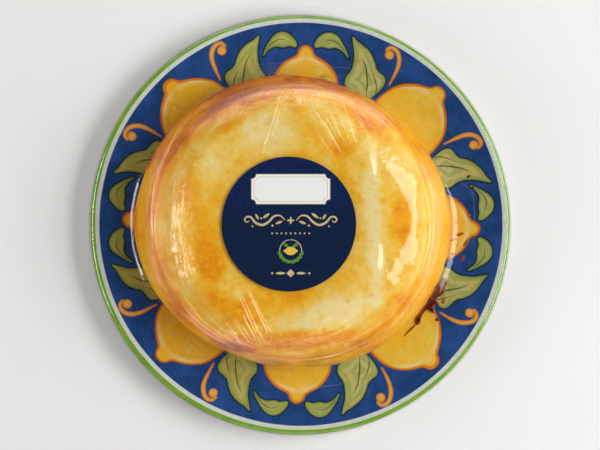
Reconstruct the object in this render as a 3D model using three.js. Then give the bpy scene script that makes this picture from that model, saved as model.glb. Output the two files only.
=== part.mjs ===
// A small baked ricotta on its painted plate, wrapped in clear shrink film with a round paper sticker.
// Millimetres, +Z up. The origin is the middle of the plate at the level of its foot.
import * as THREE from "three";

// Plate
const PLATE_RADIUS = 70;
const PLATE_HEIGHT = 8.2;
const FOOT_INNER_RADIUS = 34;
const FOOT_OUTER_RADIUS = 38;
const FOOT_CHAMFER = 0.7;
const FLOOR_TOP = 4.6; // the flat on which the ricotta lies
const RIM_FOOT = 53.7; // radius where the rim's slope would meet the floor
const BEND_REACH = 3.3; // how far the soft bend between the two reaches to either side
const THICKNESS = 2.7;
const LIP_RADIUS = 1.35;
const LIP_TURN_PAST_TOP = 0.2; // radians, until the round lip runs into the rim's slope
const CURVE_STEPS = 4;

// Ricotta: an oval wheel that bulges over its foot and leans in towards its shoulder.
const RICOTTA_CENTRE = new THREE.Vector2(-2.45, 0.9);
const RICOTTA_HEIGHT = 25;
const BELLY_HALF_LENGTH = 52.4;
const BELLY_HALF_WIDTH = 48.2;
const BELLY_TURN = THREE.MathUtils.degToRad(-10);
const BELLY_HEIGHT = 6.4; // above the foot
const SHOULDER_HALF_LENGTH = 46.3;
const SHOULDER_HALF_WIDTH = 44.9;
const SHOULDER_TURN = THREE.MathUtils.degToRad(12);
const SHOULDER_HEIGHT = 8; // of the rounding, below the top
const SHOULDER_ROUNDNESS = 1.5; // 2 is a quarter ellipse, 1 a straight slope
const SHOULDER_WIDTH = 10; // of the rounding, seen from above
const SHOULDER_WIDTH_GAIN = 9; // added on the side that slopes away most gently
const GENTLE_SIDE = 0.2; // that side's direction, turned clockwise from +X
const FOOT_INSET = 5.9;
const FOOT_CURVE = 2.4; // how round the foot is: 2 is an ellipse
const TOP_SAG = 0.5; // the middle lies this much lower than the shoulder's crown
const RIB_COUNT = 3; // shallow ribs of the draining basket, round the side
const RIB_DEPTH = 0.35;
const LUMP = 0.35;
const GAP = 0.3; // between pieces that touch

// Film and sticker
const FILM_THICKNESS = 0.3;
const FILM_TURNS_AT = 7.2; // the height at which the film, hanging from the belly, turns outwards
const FILM_TURN = [
  // how far out from the belly and up from that height
  [0.1, 0.9],
  [0.5, 0.25],
  [1.9, -0.4],
];
const FILM_LANDS_AT = 58.6; // radius where it meets the rim
const FILM_UNDER_RADII = [60, 56, 52]; // under the rim
const FILM_END_RADIUS = 44.5; // under the plate, where the shrunk film ends in a gathered hem
const HEM_WAVE = 0.9;
const FILM_LIP_TURNS = [65, 22, -22, -65].map(THREE.MathUtils.degToRad); // round the lip, from the level
const STICKER_CENTRE = new THREE.Vector2(-3.6, 0.3);
const STICKER_RADIUS = 21.8;
const STICKER_THICKNESS = 0.3;

// Syrup that has run out from under the ricotta
const SYRUP_ANGLE = THREE.MathUtils.degToRad(-30);
const SYRUP_SPREAD = THREE.MathUtils.degToRad(11);
const SYRUP_RADIUS = 51.7;
const SYRUP_HALF_WIDTH = 2.1;
const SYRUP_DEPTH = 1;
const SYRUP_STEPS = 16; // round the pool

const SEGMENTS = 60; // round every piece, so that neighbouring pieces' flats line up

const angles = Array.from({ length: SEGMENTS }, (_, i) => (i / SEGMENTS) * 2 * Math.PI);

// Distance from the middle of an ellipse to its edge in the direction angle.
function ellipseRadius(halfLength, halfWidth, turn, angle) {
  const a = angle - turn;
  return (halfLength * halfWidth) / Math.hypot(halfWidth * Math.cos(a), halfLength * Math.sin(a));
}

const bellyRadius = (a) =>
  ellipseRadius(BELLY_HALF_LENGTH, BELLY_HALF_WIDTH, BELLY_TURN, a) +
  LUMP * (Math.sin(4 * a + 0.7) - Math.sin(3 * a));
const shoulderRadius = (a) => ellipseRadius(SHOULDER_HALF_LENGTH, SHOULDER_HALF_WIDTH, SHOULDER_TURN, a);
const shoulderWidth = (a) =>
  SHOULDER_WIDTH + SHOULDER_WIDTH_GAIN * Math.pow((1 + Math.cos(a + GENTLE_SIDE)) / 2, 2);

const RICOTTA_FOOT = FLOOR_TOP + GAP;
const RICOTTA_TOP = RICOTTA_FOOT + RICOTTA_HEIGHT;
const SHOULDER_FOOT = RICOTTA_TOP - SHOULDER_HEIGHT;
const BELLY = RICOTTA_FOOT + BELLY_HEIGHT;

const FOOT_SHARES = [0, 0.12, 0.35, 0.7]; // of the way up from the foot to the belly
const SHOULDER_STEPS = 5;
const ease = (t) => t * t * (3 - 2 * t);

// The ricotta's outer line in the direction angle, as [radius, height] pairs from the foot to the crown.
function ricottaLine(angle) {
  const belly = bellyRadius(angle);
  const shoulder = shoulderRadius(angle);
  const width = shoulderWidth(angle);
  const line = [];
  for (const t of FOOT_SHARES) {
    const drop = Math.pow(1 - t, FOOT_CURVE);
    line.push([belly - FOOT_INSET * drop, RICOTTA_FOOT + BELLY_HEIGHT * t]);
  }
  const sideSteps = 2 * RIB_COUNT;
  for (let i = 0; i < sideSteps; i++) {
    const t = i / sideSteps;
    const rib = i % 2 ? RIB_DEPTH : 0;
    line.push([belly + (shoulder - belly) * ease(t) - rib, BELLY + (SHOULDER_FOOT - BELLY) * t]);
  }
  const power = 2 / SHOULDER_ROUNDNESS;
  for (let i = 0; i <= SHOULDER_STEPS; i++) {
    const t = (i / SHOULDER_STEPS) * (Math.PI / 2);
    const inwards = 1 - Math.max(0, Math.cos(t)) ** power;
    line.push([shoulder - width * inwards, SHOULDER_FOOT + SHOULDER_HEIGHT * Math.sin(t) ** power]);
  }
  return line;
}

// Height of the ricotta's top inside its crown: a shallow sag towards the middle.
const topHeight = (share) => RICOTTA_TOP - TOP_SAG * (1 - share * share);
const TOP_SHARES = [0.75, 0.5, 0.25];

const at = (centre, radius, angle, z) =>
  new THREE.Vector3(centre.x + radius * Math.cos(angle), centre.y + radius * Math.sin(angle), z);

// A closed solid from rings of points, listed from the lower middle outwards and back to the upper middle.
function ringSolid(first, rings, last) {
  const n = rings[0].length;
  const points = [first, ...rings.flat(), last];
  const index = [];
  const end = points.length - 1;
  const id = (ring, i) => 1 + ring * n + (i % n);
  for (let i = 0; i < n; i++) {
    index.push(0, id(0, i + 1), id(0, i));
    index.push(id(rings.length - 1, i), id(rings.length - 1, i + 1), end);
    for (let r = 0; r + 1 < rings.length; r++) {
      index.push(id(r, i), id(r, i + 1), id(r + 1, i + 1));
      index.push(id(r, i), id(r + 1, i + 1), id(r + 1, i));
    }
  }
  const geometry = new THREE.BufferGeometry().setFromPoints(points);
  geometry.setIndex(index);
  geometry.computeVertexNormals();
  return geometry;
}

// Rings of points round a centre. Ring r takes the [radius, height] pair r of every line.
const ringsOf = (lines, centre) =>
  lines[0].map((_, r) => lines.map((line, i) => at(centre, line[r][0], angles[i], line[r][1])));

function ricottaGeometry() {
  const lines = angles.map((a) => {
    const line = ricottaLine(a);
    const crown = line[line.length - 1][0];
    return [...line, ...TOP_SHARES.map((share) => [crown * share, topHeight(share)])];
  });
  const middle = (z) => new THREE.Vector3(RICOTTA_CENTRE.x, RICOTTA_CENTRE.y, z);
  return ringSolid(middle(RICOTTA_FOOT), ringsOf(lines, RICOTTA_CENTRE), middle(topHeight(0)));
}

// Height of the plate's upper face: a flat floor, a soft bend and the rim's even slope.
const LIP_CENTRE = PLATE_RADIUS - LIP_RADIUS;
const RIM_SLOPE = (PLATE_HEIGHT - FLOOR_TOP) / (LIP_CENTRE - RIM_FOOT);
function plateTop(radius) {
  const past = radius - RIM_FOOT;
  if (past > BEND_REACH) return FLOOR_TOP + RIM_SLOPE * past;
  return FLOOR_TOP + (RIM_SLOPE * Math.max(0, past + BEND_REACH) ** 2) / (4 * BEND_REACH);
}
const plateUnder = (radius) => plateTop(radius) - THICKNESS;

function plateGeometry() {
  const under = plateUnder(0);
  const bendEnd = RIM_FOOT + BEND_REACH;
  const bendStart = RIM_FOOT - BEND_REACH;
  const section = new THREE.Path();
  section.moveTo(0, under);
  section.lineTo(FOOT_INNER_RADIUS - FOOT_CHAMFER, under);
  section.lineTo(FOOT_INNER_RADIUS, 0);
  section.lineTo(FOOT_OUTER_RADIUS - FOOT_CHAMFER, 0);
  section.quadraticCurveTo(FOOT_OUTER_RADIUS, 0, FOOT_OUTER_RADIUS, under);
  section.lineTo(bendStart, under);
  section.quadraticCurveTo(RIM_FOOT, under, bendEnd, plateUnder(bendEnd));
  const lipHeight = PLATE_HEIGHT - LIP_RADIUS;
  section.lineTo(LIP_CENTRE, lipHeight - LIP_RADIUS);
  section.absarc(LIP_CENTRE, lipHeight, LIP_RADIUS, -Math.PI / 2, Math.PI / 2 + LIP_TURN_PAST_TOP, false);
  section.lineTo(bendEnd, plateTop(bendEnd));
  section.quadraticCurveTo(RIM_FOOT, FLOOR_TOP, bendStart, FLOOR_TOP);
  section.lineTo(0, FLOOR_TOP);
  return new THREE.LatheGeometry(section.getPoints(CURVE_STEPS), SEGMENTS).rotateX(Math.PI / 2);
}

// The film's inner line in the direction angle, as points: from the crown outwards, over the rim and
// under it. It hangs straight from the ricotta's belly, turns outwards and spans to the rim.
function filmLine(angle) {
  const line = ricottaLine(angle);
  const crown = line[line.length - 1][0];
  const onRicotta = [
    ...TOP_SHARES.map((share) => [crown * share, topHeight(share) + GAP]).reverse(),
    ...line
      .slice(-SHOULDER_STEPS - 1)
      .reverse()
      .map(([r, z], i) => [r + (GAP * i) / SHOULDER_STEPS, z + GAP * (1 - i / SHOULDER_STEPS)]),
  ];
  const belly = bellyRadius(angle);
  const shoulder = shoulderRadius(angle);
  for (let rib = RIB_COUNT - 1; rib >= 0; rib--) {
    const t = rib / RIB_COUNT;
    onRicotta.push([belly + (shoulder - belly) * ease(t) + GAP, BELLY + (SHOULDER_FOOT - BELLY) * t]);
  }
  for (const [out, up] of FILM_TURN) onRicotta.push([belly + GAP + out, FILM_TURNS_AT + up]);
  const points = onRicotta.map(([r, z]) => at(RICOTTA_CENTRE, r, angle, z));
  const middle = new THREE.Vector2(0, 0);
  for (const r of [FILM_LANDS_AT, (FILM_LANDS_AT + LIP_CENTRE) / 2, LIP_CENTRE]) {
    points.push(at(middle, r, angle, plateTop(r) + GAP));
  }
  const lip = LIP_RADIUS + GAP;
  for (const turn of FILM_LIP_TURNS) {
    const r = LIP_CENTRE + lip * Math.cos(turn);
    points.push(at(middle, r, angle, PLATE_HEIGHT - LIP_RADIUS + lip * Math.sin(turn)));
  }
  const hem = FILM_END_RADIUS + HEM_WAVE * Math.sin(5 * angle) + HEM_WAVE * Math.sin(8 * angle + 1);
  for (const r of [LIP_CENTRE - 1, ...FILM_UNDER_RADII, hem]) {
    points.push(at(middle, r, angle, plateUnder(r) - GAP));
  }
  return points;
}

// The line moved outwards, away from what it wraps, by distance. Each point moves in its own upright plane.
function offsetLine(points, distance) {
  return points.map((p, i) => {
    const along = points[Math.min(i + 1, points.length - 1)].clone().sub(points[Math.max(i - 1, 0)]);
    const outwards = new THREE.Vector3(along.x, along.y, 0);
    const flat = outwards.length() * Math.sign(outwards.dot(new THREE.Vector3(p.x, p.y, 0)) || 1);
    const radial = new THREE.Vector3(p.x, p.y, 0).normalize();
    const normal = radial.multiplyScalar(-along.z).add(new THREE.Vector3(0, 0, flat));
    return p.clone().addScaledVector(normal.normalize(), distance);
  });
}

function filmGeometry() {
  const inner = angles.map(filmLine);
  const outer = inner.map((points) => offsetLine(points, FILM_THICKNESS));
  const rings = (lines) => lines[0].map((_, r) => lines.map((points) => points[r]));
  const middle = (z) => new THREE.Vector3(RICOTTA_CENTRE.x, RICOTTA_CENTRE.y, z);
  const low = topHeight(0) + GAP;
  return ringSolid(middle(low), [...rings(inner), ...rings(outer).reverse()], middle(low + FILM_THICKNESS));
}

function stickerGeometry() {
  const lower = (point) => {
    const fromMiddle = Math.hypot(point.x - RICOTTA_CENTRE.x, point.y - RICOTTA_CENTRE.y);
    const crown = SHOULDER_HALF_LENGTH - SHOULDER_WIDTH;
    return topHeight(Math.min(1, fromMiddle / crown)) + 2 * GAP + FILM_THICKNESS;
  };
  const ring = (share, lift) =>
    angles.map((a) => {
      const point = at(STICKER_CENTRE, STICKER_RADIUS * share, a, 0);
      point.z = lower(point) + lift;
      return point;
    });
  const middle = (lift) => {
    const point = at(STICKER_CENTRE, 0, 0, 0);
    point.z = lower(point) + lift;
    return point;
  };
  return ringSolid(
    middle(0),
    [ring(0.5, 0), ring(1, 0), ring(1, STICKER_THICKNESS), ring(0.5, STICKER_THICKNESS)],
    middle(STICKER_THICKNESS),
  );
}

function syrupGeometry() {
  const place = (share, turn, lift) => {
    const angle = SYRUP_ANGLE + SYRUP_SPREAD * share * Math.sin(turn);
    const radius = SYRUP_RADIUS + SYRUP_HALF_WIDTH * share * Math.cos(turn);
    const z = plateTop(radius) + GAP + lift * SYRUP_DEPTH;
    return at(new THREE.Vector2(0, 0), radius, angle, z);
  };
  const turns = Array.from({ length: SYRUP_STEPS }, (_, i) => (i / SYRUP_STEPS) * 2 * Math.PI);
  const ring = (share, lift) => turns.map((turn) => place(share, turn, lift));
  const rings = [ring(0.6, 0), ring(1, 0), ring(0.97, 0.3), ring(0.7, 0.8)];
  return ringSolid(place(0, 0, 0), rings, place(0, 0, 1));
}

function piece(name, geometry, color, roughness) {
  const mesh = new THREE.Mesh(geometry, new THREE.MeshStandardMaterial({ color, roughness, metalness: 0 }));
  mesh.name = name;
  return mesh;
}

const pack = new THREE.Group();
pack.add(piece("plate", plateGeometry(), "#28497c", 0.25));
pack.add(piece("ricotta", ricottaGeometry(), "#e0ab4a", 0.6));
pack.add(piece("syrup", syrupGeometry(), "#6e260c", 0.2));
const film = piece("film", filmGeometry(), "#f4f4f2", 0.1);
film.material.transparent = true;
film.material.opacity = 0.2;
pack.add(film);
pack.add(piece("sticker", stickerGeometry(), "#0c2244", 0.5));

export default pack;
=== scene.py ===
"""The looks of a small baked ricotta on a painted plate, in clear shrink film with a round sticker.

Lengths are in millimetres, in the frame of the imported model, and become metres where a mesh is made.
Angles are in radians, counted from +X towards +Y. A ring of points runs once round the object.
"""

import itertools
import math

import bpy
import numpy as np
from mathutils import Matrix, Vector
from mathutils.bvhtree import BVHTree


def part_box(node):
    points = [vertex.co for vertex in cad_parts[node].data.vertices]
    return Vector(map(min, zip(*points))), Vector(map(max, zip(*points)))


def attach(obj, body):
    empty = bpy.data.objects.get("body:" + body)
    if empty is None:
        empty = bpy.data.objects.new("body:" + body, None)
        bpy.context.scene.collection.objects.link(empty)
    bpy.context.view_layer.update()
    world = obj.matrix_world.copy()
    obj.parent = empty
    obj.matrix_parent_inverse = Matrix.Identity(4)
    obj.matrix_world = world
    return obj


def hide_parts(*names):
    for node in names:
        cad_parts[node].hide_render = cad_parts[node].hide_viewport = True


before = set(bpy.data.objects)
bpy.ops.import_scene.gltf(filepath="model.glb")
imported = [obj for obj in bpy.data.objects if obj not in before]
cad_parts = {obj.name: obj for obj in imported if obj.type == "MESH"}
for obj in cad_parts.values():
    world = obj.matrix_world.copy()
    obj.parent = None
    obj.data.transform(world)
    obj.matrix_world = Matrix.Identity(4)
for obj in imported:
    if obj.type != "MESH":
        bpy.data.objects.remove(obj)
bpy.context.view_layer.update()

MM = 0.001
TAU = 2 * math.pi


def box_mm(node):
    return [np.array(corner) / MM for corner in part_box(node)]


ricotta_low, ricotta_high = box_mm("ricotta")

# Plate
PLATE_RADIUS = 70
PLATE_HEIGHT = 8.2
FOOT_INNER_RADIUS = 34
FOOT_OUTER_RADIUS = 38
FLOOR_TOP = 4.6
RIM_FOOT = 53.7
BEND_REACH = 3.3
THICKNESS = 2.7
LIP_RADIUS = 1.35
LIP_CENTRE = PLATE_RADIUS - LIP_RADIUS

# Ricotta: the belly is its widest line, the shoulder the edge of its top, the crown where the top turns flat.
RICOTTA_CENTRE = np.array([-2.45, 0.9])
RICOTTA_FOOT = ricotta_low[2]
RICOTTA_TOP = ricotta_high[2]
BELLY_HALF_LENGTH = 52.4
BELLY_HALF_WIDTH = 48.2
BELLY_TURN = math.radians(-10)
BELLY_HEIGHT = 6.4
SHOULDER_HALF_LENGTH = 46.3
SHOULDER_HALF_WIDTH = 44.9
SHOULDER_TURN = math.radians(12)
SHOULDER_HEIGHT = 8
SHOULDER_ROUNDNESS = 1.5
SHOULDER_WIDTH = 10
SHOULDER_WIDTH_GAIN = 9
GENTLE_SIDE = 0.2
FOOT_INSET = 5.9
FOOT_CURVE = 2.4
TOP_SAG = 0.5
RIB_COUNT = 3
RIB_DEPTH = 0.35
LUMP = 0.35
SIDE_RINGS = 26
SHOULDER_RINGS = 42
TOP_RINGS = 74
SIDE_SOFTENING = 120  # how often the bend between side and shoulder is evened out
BELLY = RICOTTA_FOOT + BELLY_HEIGHT
SHOULDER_FOOT = RICOTTA_TOP - SHOULDER_HEIGHT

# Film and sticker
FILM_LIFT = 0.6  # over the ricotta
FILM_LIFT_ON_PLATE = 0.4
FILM_TURNS_AT = 6.6
FILM_TURN = [(0, 1.9), (0.03, 1.3), (0.14, 0.8), (0.4, 0.42), (1.1, 0.08), (1.75, -0.22), (2.2, -0.38)]
FILM_LANDS_AT = 58.4
FILM_END_RADIUS = 44.5
HEM_WAVE = 0.9
STICKER_CENTRE = np.array([-3.6, 0.3])
STICKER_RADIUS = 21.8
STICKER_LIFT = 0.1  # over the film
STICKER_THICKNESS = 0.16


# ---------------------------------------------------------------- numbers


def smoothstep(low, high, x):
    t = np.clip((x - low) / (high - low), 0, 1)
    return t * t * (3 - 2 * t)


def bump(d, width):
    """1 at d = 0, falling smoothly to 0 over about twice the width."""
    return np.exp(-((d / width) ** 2))


def turned(a, degrees):
    """The angle from this direction to a, from minus half a turn to half a turn."""
    return (a - math.radians(degrees) + math.pi) % TAU - math.pi


def rotated(x, y, degrees):
    """The place (x, y), turned round the origin."""
    c, s = math.cos(math.radians(degrees)), math.sin(math.radians(degrees))
    return c * x - s * y, s * x + c * y


def norm(v):
    return np.linalg.norm(v, axis=-1)


def unit(v):
    return v / np.maximum(norm(v), 1e-9)[..., None]


def directions(count):
    """Even steps once round, starting at +X."""
    return np.arange(count) / count * TAU


def tapered(along, least=0.0, power=1):
    """Near 0 at both ends of a line and 1 at its middle. along runs from 0 to 1."""
    return np.sin(np.clip(along, least, 1 - least) * math.pi) ** power


def hashed(cell, seed):
    """A number from -1 to 1 for each whole-numbered cell."""
    h = cell[..., 0] * 73856093 ^ cell[..., 1] * 19349663 ^ cell[..., 2] * 83492791
    h ^= (seed + 1) * 2654435761
    h = (h ^ (h >> 13)) * 1274126177 & 0x7FFFFFFF
    h ^= h >> 15
    return (h & 0xFFFF) / 32767.5 - 1


def noise(points, size, seed=0, octaves=1):
    """Smooth noise from -1 to 1 at each point, in waves of about the size. Each octave halves size and height."""
    total = np.zeros(points.shape[:-1])
    height = 1.0
    for octave in range(octaves):
        place = points / (size * 0.5**octave) + 0.37 * octave
        cell = np.floor(place).astype(np.int64)
        share = place - cell
        share = share * share * (3 - 2 * share)
        for corner in itertools.product((0, 1), repeat=3):
            weight = np.prod(np.where(corner, share, 1 - share), axis=-1)
            total += height * weight * hashed(cell + np.array(corner), seed + octave)
        height *= 0.5
    return total


def smooth_line(points, steps=6, closed=False):
    """A smooth curve through the points (Catmull-Rom), as many short straight steps."""
    points = np.array(points, float)
    if closed:
        padded = np.vstack([points[-1], points, points[:2]])
    else:
        padded = np.vstack([2 * points[0] - points[1], points, 2 * points[-1] - points[-2]])
    curve = []
    for before, start, end, after in zip(padded, padded[1:], padded[2:], padded[3:]):
        for t in np.arange(steps) / steps:
            curve.append(
                0.5
                * (
                    2 * start
                    + (end - before) * t
                    + (2 * before - 5 * start + 4 * end - after) * t**2
                    + (3 * start - before - 3 * end + after) * t**3
                )
            )
    if not closed:
        curve.append(padded[-2])
    return np.array(curve)


def line_distance(points, line):
    """For each 2-D point, the distance to the line, signed by its side, and how far along it, from 0 to 1."""
    best = np.full(points.shape[:-1], np.inf)
    signed = np.zeros_like(best)
    along = np.zeros_like(best)
    lengths = norm(np.diff(line, axis=0))
    reached = np.concatenate([[0], np.cumsum(lengths)])
    for start, end, length, before in zip(line, line[1:], lengths, reached):
        way = (end - start) / max(length, 1e-9)
        offset = points - start
        t = np.clip(offset @ way, 0, length)
        distance = norm(offset - t[..., None] * way)
        side = np.sign(way[0] * offset[..., 1] - way[1] * offset[..., 0])
        nearer = distance < best
        best = np.where(nearer, distance, best)
        signed = np.where(nearer, distance * side, signed)
        along = np.where(nearer, (before + t) / reached[-1], along)
    return signed, along


def shape_distance(points, outline):
    """For each 2-D point, the distance to the closed outline, negative inside it."""
    distance = np.full(points.shape[:-1], np.inf)
    inside = np.zeros(points.shape[:-1], bool)
    x, y = points[..., 0], points[..., 1]
    for start, end in zip(outline, np.roll(outline, -1, axis=0)):
        way = end - start
        offset = points - start
        t = np.clip(offset @ way / max(way @ way, 1e-12), 0, 1)
        distance = np.minimum(distance, norm(offset - t[..., None] * way))
        crosses = (start[1] > y) != (end[1] > y)
        reach = way[0] * (y - start[1]) / (way[1] if way[1] else 1e-12) + start[0]
        inside ^= crosses & (x < reach)
    return np.where(inside, -distance, distance)


# ---------------------------------------------------------------- the shared forms


def ellipse_radius(half_length, half_width, turn, angle):
    a = angle - turn
    return half_length * half_width / np.hypot(half_width * np.cos(a), half_length * np.sin(a))


def belly_radius(a):
    lumps = LUMP * (np.sin(4 * a + 0.7) - np.sin(3 * a))
    return ellipse_radius(BELLY_HALF_LENGTH, BELLY_HALF_WIDTH, BELLY_TURN, a) + lumps


def shoulder_radius(a):
    return ellipse_radius(SHOULDER_HALF_LENGTH, SHOULDER_HALF_WIDTH, SHOULDER_TURN, a)


def shoulder_width(a):
    return SHOULDER_WIDTH + SHOULDER_WIDTH_GAIN * ((1 + np.cos(a + GENTLE_SIDE)) / 2) ** 2


def crown_radius(a):
    return shoulder_radius(a) - shoulder_width(a)


def top_height(share):
    """Height of the ricotta's top at this share of the way from its middle to its crown."""
    return RICOTTA_TOP - TOP_SAG * (1 - np.minimum(share, 1) ** 2)


RIM_SLOPE = (PLATE_HEIGHT - FLOOR_TOP) / (LIP_CENTRE - RIM_FOOT)
FOOT_HEIGHT = FLOOR_TOP - THICKNESS


def plate_top(radius):
    """Height of the plate's upper face: a flat floor, a soft bend and the rim's even slope."""
    past = np.asarray(radius, float) - RIM_FOOT
    bend = np.clip(past + BEND_REACH, 0, None) ** 2 / (4 * BEND_REACH)
    return FLOOR_TOP + RIM_SLOPE * np.where(past > BEND_REACH, past, bend)


def shoulder_curve(steps):
    """The shoulder's rounding, as [inwards, upwards] shares, from its foot to the crown."""
    t = np.linspace(0, math.pi / 2, steps)
    power = 2 / SHOULDER_ROUNDNESS
    return np.stack([1 - np.cos(t) ** power, np.sin(t) ** power], axis=-1)


def ring(radius, height, angle, centre=(0, 0)):
    """One ring of 3-D points. The radius and height are numbers, or one number for each angle."""
    x = centre[0] + radius * np.cos(angle)
    y = centre[1] + radius * np.sin(angle)
    return np.stack([x, y, height + 0 * angle], axis=-1)


def side_radius(a, height):
    """Radius of the ricotta's side between its belly and its shoulder."""
    t = (height - BELLY) / (SHOULDER_FOOT - BELLY)
    return belly_radius(a) + (shoulder_radius(a) - belly_radius(a)) * t * t * (3 - 2 * t)


def evened(grid, first, last, times):
    """The grid with its rings from first to last evened out against their neighbours."""
    for _ in range(times):
        inner = grid[first:last]
        grid[first:last] = inner + 0.25 * (grid[first - 1 : last - 1] - 2 * inner + grid[first + 1 : last + 1])
    return grid


def upper_body(a):
    """The ricotta's smooth surface from its belly to its middle, as rings of points at the angles a."""
    rings = []
    for z in np.linspace(BELLY, SHOULDER_FOOT, SIDE_RINGS, endpoint=False):
        rings.append(ring(side_radius(a, z), z, a, RICOTTA_CENTRE))
    for inwards, upwards in shoulder_curve(SHOULDER_RINGS + 1)[:-1]:
        r = shoulder_radius(a) - shoulder_width(a) * inwards
        rings.append(ring(r, SHOULDER_FOOT + SHOULDER_HEIGHT * upwards, a, RICOTTA_CENTRE))
    for share in np.linspace(1, 0.02, TOP_RINGS):
        rings.append(ring(crown_radius(a) * share, top_height(share), a, RICOTTA_CENTRE))
    return evened(np.stack(rings), SIDE_RINGS // 3, SIDE_RINGS + SHOULDER_RINGS // 2, SIDE_SOFTENING)


# ---------------------------------------------------------------- meshes and materials


def normals_of(grid):
    """Outward normals of a grid of rings that run counter-clockwise, listed from below to above."""
    around = np.roll(grid, -1, axis=1) - np.roll(grid, 1, axis=1)
    across = np.gradient(grid, axis=0)
    return unit(np.cross(around, across))


def new_piece(name, points, faces, values):
    """A smooth mesh. values are named numbers for each of its points, for the materials to read."""
    mesh = bpy.data.meshes.new(name)
    mesh.from_pydata((points * MM).tolist(), [], faces)
    mesh.polygons.foreach_set("use_smooth", np.ones(len(mesh.polygons), bool))
    for key, value in values.items():
        mesh.attributes.new(key, "FLOAT", "POINT").data.foreach_set("value", value.astype(np.float32))
    piece = bpy.data.objects.new(name, mesh)
    bpy.context.scene.collection.objects.link(piece)
    return piece


def grid_piece(name, grid, first, last, values):
    """A mesh from rings of points. first and last are the points that close its two ends, or None."""
    index = np.arange(grid[..., 0].size).reshape(grid.shape[:2])
    after = np.roll(index, -1, axis=1)
    faces = np.stack([index[:-1], after[:-1], after[1:], index[1:]], axis=-1).reshape(-1, 4).tolist()
    points = grid.reshape(-1, 3)
    for end, starts, ends in ((first, after[0], index[0]), (last, index[-1], after[-1])):
        if end is not None:
            faces += [[len(points), a, b] for a, b in zip(starts, ends)]
            points = np.vstack([points, end])
    values = {key: np.pad(value.ravel(), (0, len(points) - value.size)) for key, value in values.items()}
    return new_piece(name, points, faces, values)


def read(data, key, width=1, kind=float):
    """What a mesh's points, corners or faces hold under the key, with width numbers for each."""
    flat = np.empty(len(data) * width, kind)
    data.foreach_get(key, flat)
    return flat.reshape(-1, width)


class Shader:
    """Short ways to write the nodes of a material or a world."""

    def __init__(self, name, kind=bpy.data.materials):
        self.owner = kind.new(name)
        self.owner.use_nodes = True
        self.tree = self.owner.node_tree
        self.tree.nodes.clear()

    def node(self, kind, inputs=None, **settings):
        made = self.tree.nodes.new("ShaderNode" + kind)
        for key, value in settings.items():
            setattr(made, key, value)
        for key, value in (inputs or {}).items():
            self.feed(made.inputs[key], value)
        return made

    def feed(self, socket, value):
        if isinstance(value, bpy.types.NodeSocket):
            self.tree.links.new(value, socket)
        elif isinstance(value, tuple) and socket.type == "RGBA":
            socket.default_value = (*value, 1)[:4]
        else:
            socket.default_value = value

    def value(self, name):
        return self.node("Attribute", attribute_name=name).outputs["Fac"]

    def math(self, operation, a, b=0.0, c=0.0):
        return self.node("Math", {0: a, 1: b, 2: c}, operation=operation).outputs[0]

    def times(self, a, b):
        return self.math("MULTIPLY", a, b)

    def plus(self, a, b, share=1.0):
        """a and this share of b."""
        return self.math("MULTIPLY_ADD", b, share, a)

    def step(self, x, low, high, to_low=0.0, to_high=1.0):
        """to_low where x is at low, to_high where it is at high, and smooth between. low may be the greater."""
        made = self.node(
            "MapRange",
            {"Value": x, "From Min": low, "From Max": high, "To Min": to_low, "To Max": to_high},
            interpolation_type="SMOOTHSTEP",
        )
        return made.outputs["Result"]

    def mix(self, share, a, b):
        made = self.node("Mix", data_type="RGBA")
        self.feed(made.inputs["Factor"], share)
        self.feed(made.inputs[6], a)
        self.feed(made.inputs[7], b)
        return made.outputs[2]

    def over(self, under, colour, x, none, full, most=1.0):
        """The colour laid over what is under it: not at all where x is at none, by most where it is at full."""
        return self.mix(self.step(x, none, full, 0.0, most), under, colour)

    def place(self):
        return self.node("TexCoord").outputs["Object"]

    def noise(self, size, detail=2.0, roughness=0.5, vector=None, distortion=0.0):
        """Noise with waves of about size millimetres, from 0 to 1."""
        made = self.node(
            "TexNoise",
            {
                "Vector": vector or self.place(),
                "Scale": 1 / (size * MM),
                "Detail": detail,
                "Roughness": roughness,
                "Distortion": distortion,
            },
        )
        return made.outputs["Fac"]

    def stretched(self, scale):
        """The object's coordinates, multiplied by scale."""
        return self.node("VectorMath", {0: self.place(), 1: scale}, operation="MULTIPLY").outputs[0]

    def ridge(self, noise, width):
        """Thin lines, 1 at their middle, where the noise passes 0.5."""
        return self.step(self.math("ABSOLUTE", self.plus(noise, -0.5)), width, 0.0)

    def ramp(self, share, stops):
        made = self.node("ValToRGB", {"Fac": share})
        elements = made.color_ramp.elements
        while len(elements) < len(stops):
            elements.new(0.5)
        for element, (at, colour) in zip(elements, stops):
            element.position = at
            element.color = (*colour, 1)
        return made.outputs["Color"]

    def bump(self, height, distance, strength=1.0, normal=None):
        made = self.node("Bump", {"Height": height, "Distance": distance * MM, "Strength": strength})
        if normal is not None:
            self.feed(made.inputs["Normal"], normal)
        return made.outputs["Normal"]

    def surface(self, **inputs):
        named = {key.replace("_", " "): value for key, value in inputs.items()}
        return self.shown(self.node("BsdfPrincipled", named))

    def shown(self, shader):
        self.node("OutputMaterial", {"Surface": shader.outputs[0]})
        return self.owner


def wear(piece, material, node=None):
    piece.data.materials.append(material)
    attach(piece, "root")
    if node:
        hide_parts(node)


# ---------------------------------------------------------------- the plate and its painting

PAINTING_CENTRE = np.array([0.3, 0.25])
PAINTING_TURN = -1.5  # degrees
PLATE_AROUND = 840
RIM_RINGS = 72
PAINTED_FROM = 46.5  # the radius where the fine rings begin
WHITE_FROM = 67.15
LIME_FROM = 68.5

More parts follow.
